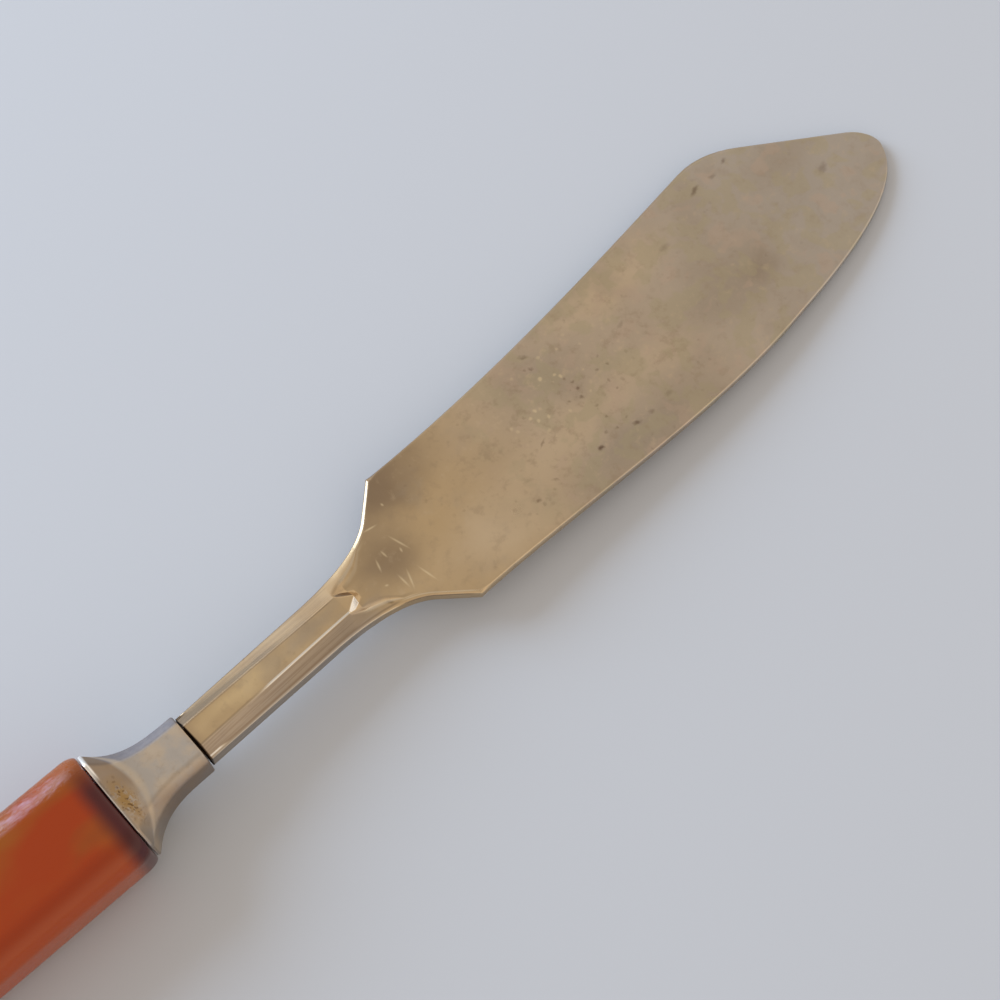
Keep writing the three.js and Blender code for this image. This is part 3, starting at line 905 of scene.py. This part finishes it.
# Crest: how far it takes painted shade, from its edge side to its spine side, and the painted highlight on
# its brim. Depths are shares of the crest's own reach at that place across.
CREST_SHADE_DEPTH = (1.05, 0.85)
CREST_ACROSS = (-2, 1)
CREST_STRENGTH = {"least": 0.35, "more": 0.5}
BRIM_INNER = (0.95, 1.1)
BRIM_OUTER = (1.4, 1.15)
BRIM_HIGHLIGHT = 0.4

# Eaten patch on the crest's upper side
CRUST_SMEAR = {"size": 1.2, "reach": 1.2}
CRUST_CENTRE = (1.1, -1, 4)
CRUST_RADII = (1.3, 3.4, 3)
CRUST_SHOWS = (0.4, 0.5)
CRUST_STRENGTH = 0.9
CRUST_FLECKS = {"pitch": 0.4, "radius": 0.18}
CRUST_FLECK_STRENGTH = 0.8

# Rim with a painted highlight, partly rubbing, most at its spine-side end, and darkening at the lip
RIM_END_ALONG = (0.55, 0.35)
RIM_END_ACROSS = (1.5, 3)
RIM_LINE = (0.2, 0.1)
RIM_LINE_STRENGTH = 0.4
LIP_GROOVE_DARK = 0.06

# Gloss and relief of the ferrule
FERRULE_ROUGHNESS = {"least": 0.3, "clouds": 0.24, "crust": 0.25, "facet": 0.3, "sheen_and_rub": -0.3}
FERRULE_RELIEF = {"mottle": 0.3, "crust": -0.8}
FERRULE_DEPTH = 0.015


def spine_facet(shade, along, across):
    """The ferrule's bevel on the spine side, from a little short of its crease."""
    share = shade.times(shade.calc("SUBTRACT", along, RIM["band"]), 1 / FLARE_LENGTH)
    flare = shade.calc("POWER", shade.calc("SUBTRACT", 1, share), FLARE_POWER)
    at_mouth = MOUTH["width"] / 2 - MOUTH["bevel"]
    at_rim = RIM["width"] / 2 - RIM["bevel"]
    crease = shade.plus(shade.times(flare, at_rim - at_mouth), at_mouth)
    return shade.fade(shade.calc("SUBTRACT", across, crease), *FACET_EDGE)


def crest_depth(shade, along, across):
    """Distance off the rim's band, as a share of the crest's reach at that place across."""
    bow = shade.calc("SUBTRACT", 1, shade.calc("POWER", shade.times(across, 2 / RIM["width"]), 2))
    off = shade.calc("SUBTRACT", along, RIM["band"])
    return shade.calc("DIVIDE", off, shade.times(bow, CREST["reach"]))


def ferrule_material():
    shade = Shade("tarnished_ferrule_plate")
    place = shade.place((FERRULE_BACK, 0, AXIS_HEIGHT))
    along = shade.axis(place, "X")
    across = shade.axis(place, "Y")
    clouds = shade.noise(place, **FERRULE_CLOUDS)
    mottles = shade.noise(place, **FERRULE_MOTTLES)
    colour = shade.mix(shade.fade(clouds, *FERRULE_KHAKI), PEWTER, KHAKI)
    colour = shade.layer(colour, UMBER, mottles, **UMBER_MOTTLES)
    # Painted shade on the edge side, darker towards the mouth
    edge_shade = shade.times(shade.fade(along, *EDGE_SHADE["along"]), EDGE_SHADE["strength"])
    colour = shade.layer(colour, DUSK_SHADE, across, EDGE_SHADE["across"], edge_shade)
    # Painted reflection: the upper spine-side bevel turned grey
    upper = shade.fade(shade.axis(place, "Z"), *FACET_UP)
    facet = shade.times(spine_facet(shade, along, across), upper)
    mottled = shade.times(shade.fade(mottles, *FACET_MOTTLES), FACET_STRENGTH["more"])
    facet_reflection = shade.plus(mottled, FACET_STRENGTH["least"])
    colour = shade.mix(shade.times(facet, facet_reflection), colour, ASH_REFLECTION)

    # Painted shade on the crest, a painted highlight on its brim, and an eaten patch on the upper side of it
    depth = crest_depth(shade, along, across)
    across_crest = shade.times(shade.fade(across, *CREST_ACROSS), CREST_STRENGTH["more"])
    crest_shade = shade.plus(across_crest, CREST_STRENGTH["least"])
    colour = shade.layer(colour, BRONZE, depth, CREST_SHADE_DEPTH, crest_shade)
    brim_highlight = shade.times(shade.fade(depth, *BRIM_INNER), shade.fade(depth, *BRIM_OUTER))
    colour = shade.mix(shade.times(brim_highlight, BRIM_HIGHLIGHT), colour, SAND)
    smeared = shade.smeared(place, **CRUST_SMEAR)
    patch = shade.spot(smeared, pushed(CRUST_CENTRE, CRUST_SMEAR), CRUST_RADII)
    crust = shade.times(patch, shade.fade(mottles, *CRUST_SHOWS))
    colour = shade.mix(shade.times(crust, CRUST_STRENGTH), colour, CRUST)
    flecks = shade.times(shade.dots(smeared, **CRUST_FLECKS), patch)
    colour = shade.mix(shade.times(flecks, CRUST_FLECK_STRENGTH), colour, RUST)

    # Painted highlight on the rim, partly rubbing, most at the spine side, and darkening where the lip meets
    # the neck
    rim_end = shade.times(shade.fade(along, *RIM_END_ALONG), shade.fade(across, *RIM_END_ACROSS))
    rim_line = shade.times(shade.fade(along, *RIM_LINE), RIM_LINE_STRENGTH)
    sheen_and_rub = shade.calc("MAXIMUM", rim_end, rim_line)
    colour = shade.mix(sheen_and_rub, colour, SILVER)
    colour = shade.mix(shade.fade(along, FERRULE_LENGTH - LIP_GROOVE_DARK, FERRULE_LENGTH), colour, GROOVE_DARK)

    roughness = shade.plus(shade.times(clouds, FERRULE_ROUGHNESS["clouds"]), FERRULE_ROUGHNESS["least"])
    for name, mask in (("crust", crust), ("facet", facet), ("sheen_and_rub", sheen_and_rub)):
        roughness = shade.plus(roughness, shade.times(mask, FERRULE_ROUGHNESS[name]))
    relief = shade.times(mottles, FERRULE_RELIEF["mottle"])
    height = shade.plus(relief, shade.times(crust, FERRULE_RELIEF["crust"]))
    return shade.finish(colour, roughness, height, FERRULE_DEPTH, {"Metallic": 1})


# Cast handle: red-orange resin with amber and brown clouds drawn out along it
EMBER = linear(150, 52, 8)
AMBER = linear(146, 76, 20)
BROWN = linear(130, 60, 18)
COPPER_FILL_LIGHT = linear(170, 74, 18)
MAROON_SHADE = linear(74, 28, 28)
HAZE_HIGHLIGHT = linear(172, 134, 150)
MARBLE_SHIFT = 24
MARBLE_SMEAR = {"size": 10, "reach": 6}
MARBLE = {"size": (18, 6, 6), "detail": 1}
VEINS = {"size": (14, 3.5, 3.5), "detail": 1}
BROWN_VEINS = {"shows": (0.52, 0.72), "strength": 0.7}
# Painted light: the lower edge side lighter and more orange, as under a warm fill light
LIT_EDGE_SIDE = {"shows": (-4, -5.6), "strength": 0.7}

# Amber comes up behind the front, and most towards the spine side
AMBER_SHOWS = (0.45, 0.7)
AMBER_BEHIND = (27, 22)
AMBER_ACROSS = (-3, 4)
AMBER_DRIFT = 0.25

# Painted shade: the front end by the ferrule turns maroon, away from the spine side
FRONT_SHADE_ALONG = (29.8, 31.8)
FRONT_SHADE_ACROSS = (5.5, 1)

# Scuffs along the upper edges of the spine side, and near the front a painted highlight, partly real scuff
# haze, broken by them
SCUFFS = {"size": (1.6, 0.6, 0.6), "detail": 6, "roughness": 0.7}
SCUFFS_SHOW = (0.4, 0.6)
SCUFF_EDGE = (2.5, 4.5)
SCUFF_STRENGTH = {"least": 0.2, "more": 0.8}
HIGHLIGHT_INNER = (3.3, 4)
HIGHLIGHT_OUTER = (5.4, 4.8)
HIGHLIGHT_FRONT = (31, 29.5)
HIGHLIGHT_BACK = (12, 30)
HIGHLIGHT_SHOWS = (0.45, 0.75)

# Gloss and relief of the handle
WAVES = {"size": (7, 3, 3), "detail": 2}
HANDLE_ROUGHNESS = {"least": 0.1, "scuffs": 0.35}
HANDLE_RELIEF = 0.6
HANDLE_DEPTH = 0.025
HANDLE_IOR = 1.42


def handle_material():
    shade = Shade("marbled_phenolic")
    place = shade.place((0, 0, AXIS_HEIGHT))
    along = shade.axis(place, "X")
    across = shade.axis(place, "Y")
    swirled = shade.smeared(shade.place((MARBLE_SHIFT, 0, AXIS_HEIGHT)), **MARBLE_SMEAR)
    behind = shade.times(shade.fade(across, *AMBER_ACROSS), shade.fade(along, *AMBER_BEHIND))
    drift = shade.plus(shade.noise(swirled, **MARBLE), shade.times(behind, AMBER_DRIFT))
    colour = shade.mix(shade.fade(drift, *AMBER_SHOWS), EMBER, AMBER)
    colour = shade.layer(colour, BROWN, shade.noise(swirled, **VEINS), **BROWN_VEINS)
    # Painted light on the lower edge side
    colour = shade.layer(colour, COPPER_FILL_LIGHT, across, **LIT_EDGE_SIDE)
    # Painted shade at the front end by the ferrule
    colour = shade.layer(colour, MAROON_SHADE, along, FRONT_SHADE_ALONG, shade.fade(across, *FRONT_SHADE_ACROSS))

    # Scuffs, and a painted highlight, partly real scuff haze, on the worst of them
    scuffs = shade.noise(place, **SCUFFS)
    by_edge = shade.times(shade.fade(across, *SCUFF_EDGE), SCUFF_STRENGTH["more"])
    on_edge = shade.plus(by_edge, SCUFF_STRENGTH["least"])
    scuffed = shade.times(shade.fade(scuffs, *SCUFFS_SHOW), on_edge)
    haze_highlight = shade.times(shade.fade(across, *HIGHLIGHT_INNER), shade.fade(across, *HIGHLIGHT_OUTER))
    haze_highlight = shade.times(haze_highlight, shade.times(shade.fade(along, *HIGHLIGHT_FRONT), shade.fade(along, *HIGHLIGHT_BACK)))
    colour = shade.layer(colour, HAZE_HIGHLIGHT, scuffs, HIGHLIGHT_SHOWS, haze_highlight)

    roughness = shade.plus(shade.times(scuffed, HANDLE_ROUGHNESS["scuffs"]), HANDLE_ROUGHNESS["least"])
    height = shade.plus(shade.times(scuffed, HANDLE_RELIEF), shade.noise(place, **WAVES))
    return shade.finish(colour, roughness, height, HANDLE_DEPTH, {"IOR": HANDLE_IOR})


# Cement: dark and grainy
CEMENT_DARK = linear(40, 32, 26)
CEMENT_LIGHT = linear(72, 58, 44)
CEMENT_GRAIN = {"size": 0.8, "detail": 5}
CEMENT_SHOWS = (0.35, 0.65)
CEMENT_ROUGHNESS = {"least": 0.7, "grain": 0.3}
CEMENT_DEPTH = 0.05
CEMENT_IOR = 1.5


def cement_material():
    shade = Shade("dark_cement")
    grain = shade.noise(shade.place((0, 0, 0)), **CEMENT_GRAIN)
    colour = shade.mix(shade.fade(grain, *CEMENT_SHOWS), CEMENT_DARK, CEMENT_LIGHT)
    roughness = shade.plus(shade.times(grain, CEMENT_ROUGHNESS["grain"]), CEMENT_ROUGHNESS["least"])
    return shade.finish(colour, roughness, grain, CEMENT_DEPTH, {"IOR": CEMENT_IOR})


def add_piece(mesh, material, node):
    """A piece that stands for a CAD node: smooth, with flat stretches kept flat."""
    mesh.materials.append(material)
    mesh.polygons.foreach_set("use_smooth", [True] * len(mesh.polygons))
    piece = bpy.data.objects.new(mesh.name, mesh)
    bpy.context.collection.objects.link(piece)
    piece.modifiers.new("flat_faces", "WEIGHTED_NORMAL").keep_sharp = True
    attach(piece, "root")
    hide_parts(node)


add_piece(blade_mesh(), blade_material(), "blade")
add_piece(ferrule_mesh(), ferrule_material(), "ferrule")
add_piece(handle_mesh(), handle_material(), "handle")

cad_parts["cement"].material_slots[0].material = cement_material()

# Floor, with half its width in metres
FLOOR_HALF = 2
FLOOR_COLOUR = linear(197, 202, 211)
FLOOR_ROUGHNESS = 0.9


def add_floor():
    mesh = bpy.data.meshes.new("floor")
    sides = [(-1, -1), (1, -1), (1, 1), (-1, 1)]
    corners = [(side_x * FLOOR_HALF, side_y * FLOOR_HALF, 0) for side_x, side_y in sides]
    mesh.from_pydata(corners, [], [(0, 1, 2, 3)])
    material = bpy.data.materials.new("pale_floor")
    material.use_nodes = True
    shader = material.node_tree.nodes["Principled BSDF"]
    shader.inputs["Base Color"].default_value = FLOOR_COLOUR
    shader.inputs["Roughness"].default_value = FLOOR_ROUGHNESS
    mesh.materials.append(material)
    floor = bpy.data.objects.new("floor", mesh)
    bpy.context.collection.objects.link(floor)


# Light: a soft low lamp beyond the spine and the handle, with its sizes in metres, and a warm world that is
# dimmer overhead
LAMP_AIM = Vector((0.05, 0, 0))
LAMP_AZIMUTH = math.radians(112)
LAMP_HEIGHT = math.radians(23)
LAMP_DISTANCE = 0.7
LAMP_SIZE = 0.5
LAMP_POWER = 4.4
LAMP_COLOUR = (0.76, 0.98, 1.24)
WORLD_LOW = (0.98, 0.87, 0.75, 1)
WORLD_HIGH = (0.58, 0.515, 0.445, 1)
WORLD_FADE = (0.35, 0.9)


def add_lamp():
    flat = math.cos(LAMP_HEIGHT)
    toward = Vector((math.cos(LAMP_AZIMUTH) * flat, math.sin(LAMP_AZIMUTH) * flat, math.sin(LAMP_HEIGHT)))
    data = bpy.data.lights.new("window", "AREA")
    data.shape = "DISK"
    data.size = LAMP_SIZE
    data.energy = LAMP_POWER
    data.color = LAMP_COLOUR
    lamp = bpy.data.objects.new("window", data)
    lamp.location = LAMP_AIM + toward * LAMP_DISTANCE
    lamp.rotation_euler = (-toward).to_track_quat("-Z", "Y").to_euler()
    bpy.context.collection.objects.link(lamp)


def add_world():
    """Radiance by the height of the direction, from the horizon up."""
    world = bpy.data.worlds.new("room")
    world.use_nodes = True
    nodes = world.node_tree.nodes
    links = world.node_tree.links
    direction = nodes.new("ShaderNodeTexCoord")
    split = nodes.new("ShaderNodeSeparateXYZ")
    height = nodes.new("ShaderNodeMapRange")
    height.interpolation_type = "SMOOTHSTEP"
    height.inputs["From Min"].default_value = WORLD_FADE[0]
    height.inputs["From Max"].default_value = WORLD_FADE[1]
    colour = nodes.new("ShaderNodeMix")
    colour.data_type = "RGBA"
    colour.inputs[6].default_value = WORLD_LOW
    colour.inputs[7].default_value = WORLD_HIGH
    links.new(direction.outputs["Generated"], split.inputs[0])
    links.new(split.outputs["Z"], height.inputs["Value"])
    links.new(height.outputs[0], colour.inputs[0])
    links.new(colour.outputs[2], nodes["Background"].inputs["Color"])
    bpy.context.scene.world = world


# Camera: the photograph's own place and angle. The near clip is in metres.
CAMERA_PLACE = (35.405, -49.277, 175.373)
CAMERA_TILT = math.radians(20.8)
CAMERA_TURN = math.radians(-42)
CAMERA_LENS = 67.54
CAMERA_SENSOR = 36
CAMERA_NEAR = 0.001


def add_camera():
    data = bpy.data.cameras.new("camera")
    data.lens = CAMERA_LENS
    data.sensor_width = CAMERA_SENSOR
    data.clip_start = CAMERA_NEAR
    camera = bpy.data.objects.new("camera", data)
    camera.location = Vector(CAMERA_PLACE) * MM
    camera.rotation_euler = (CAMERA_TILT, 0, CAMERA_TURN)
    bpy.context.collection.objects.link(camera)
    bpy.context.scene.camera = camera


add_floor()
add_lamp()
add_world()
add_camera()
bpy.context.scene.view_settings.view_transform = "Standard"
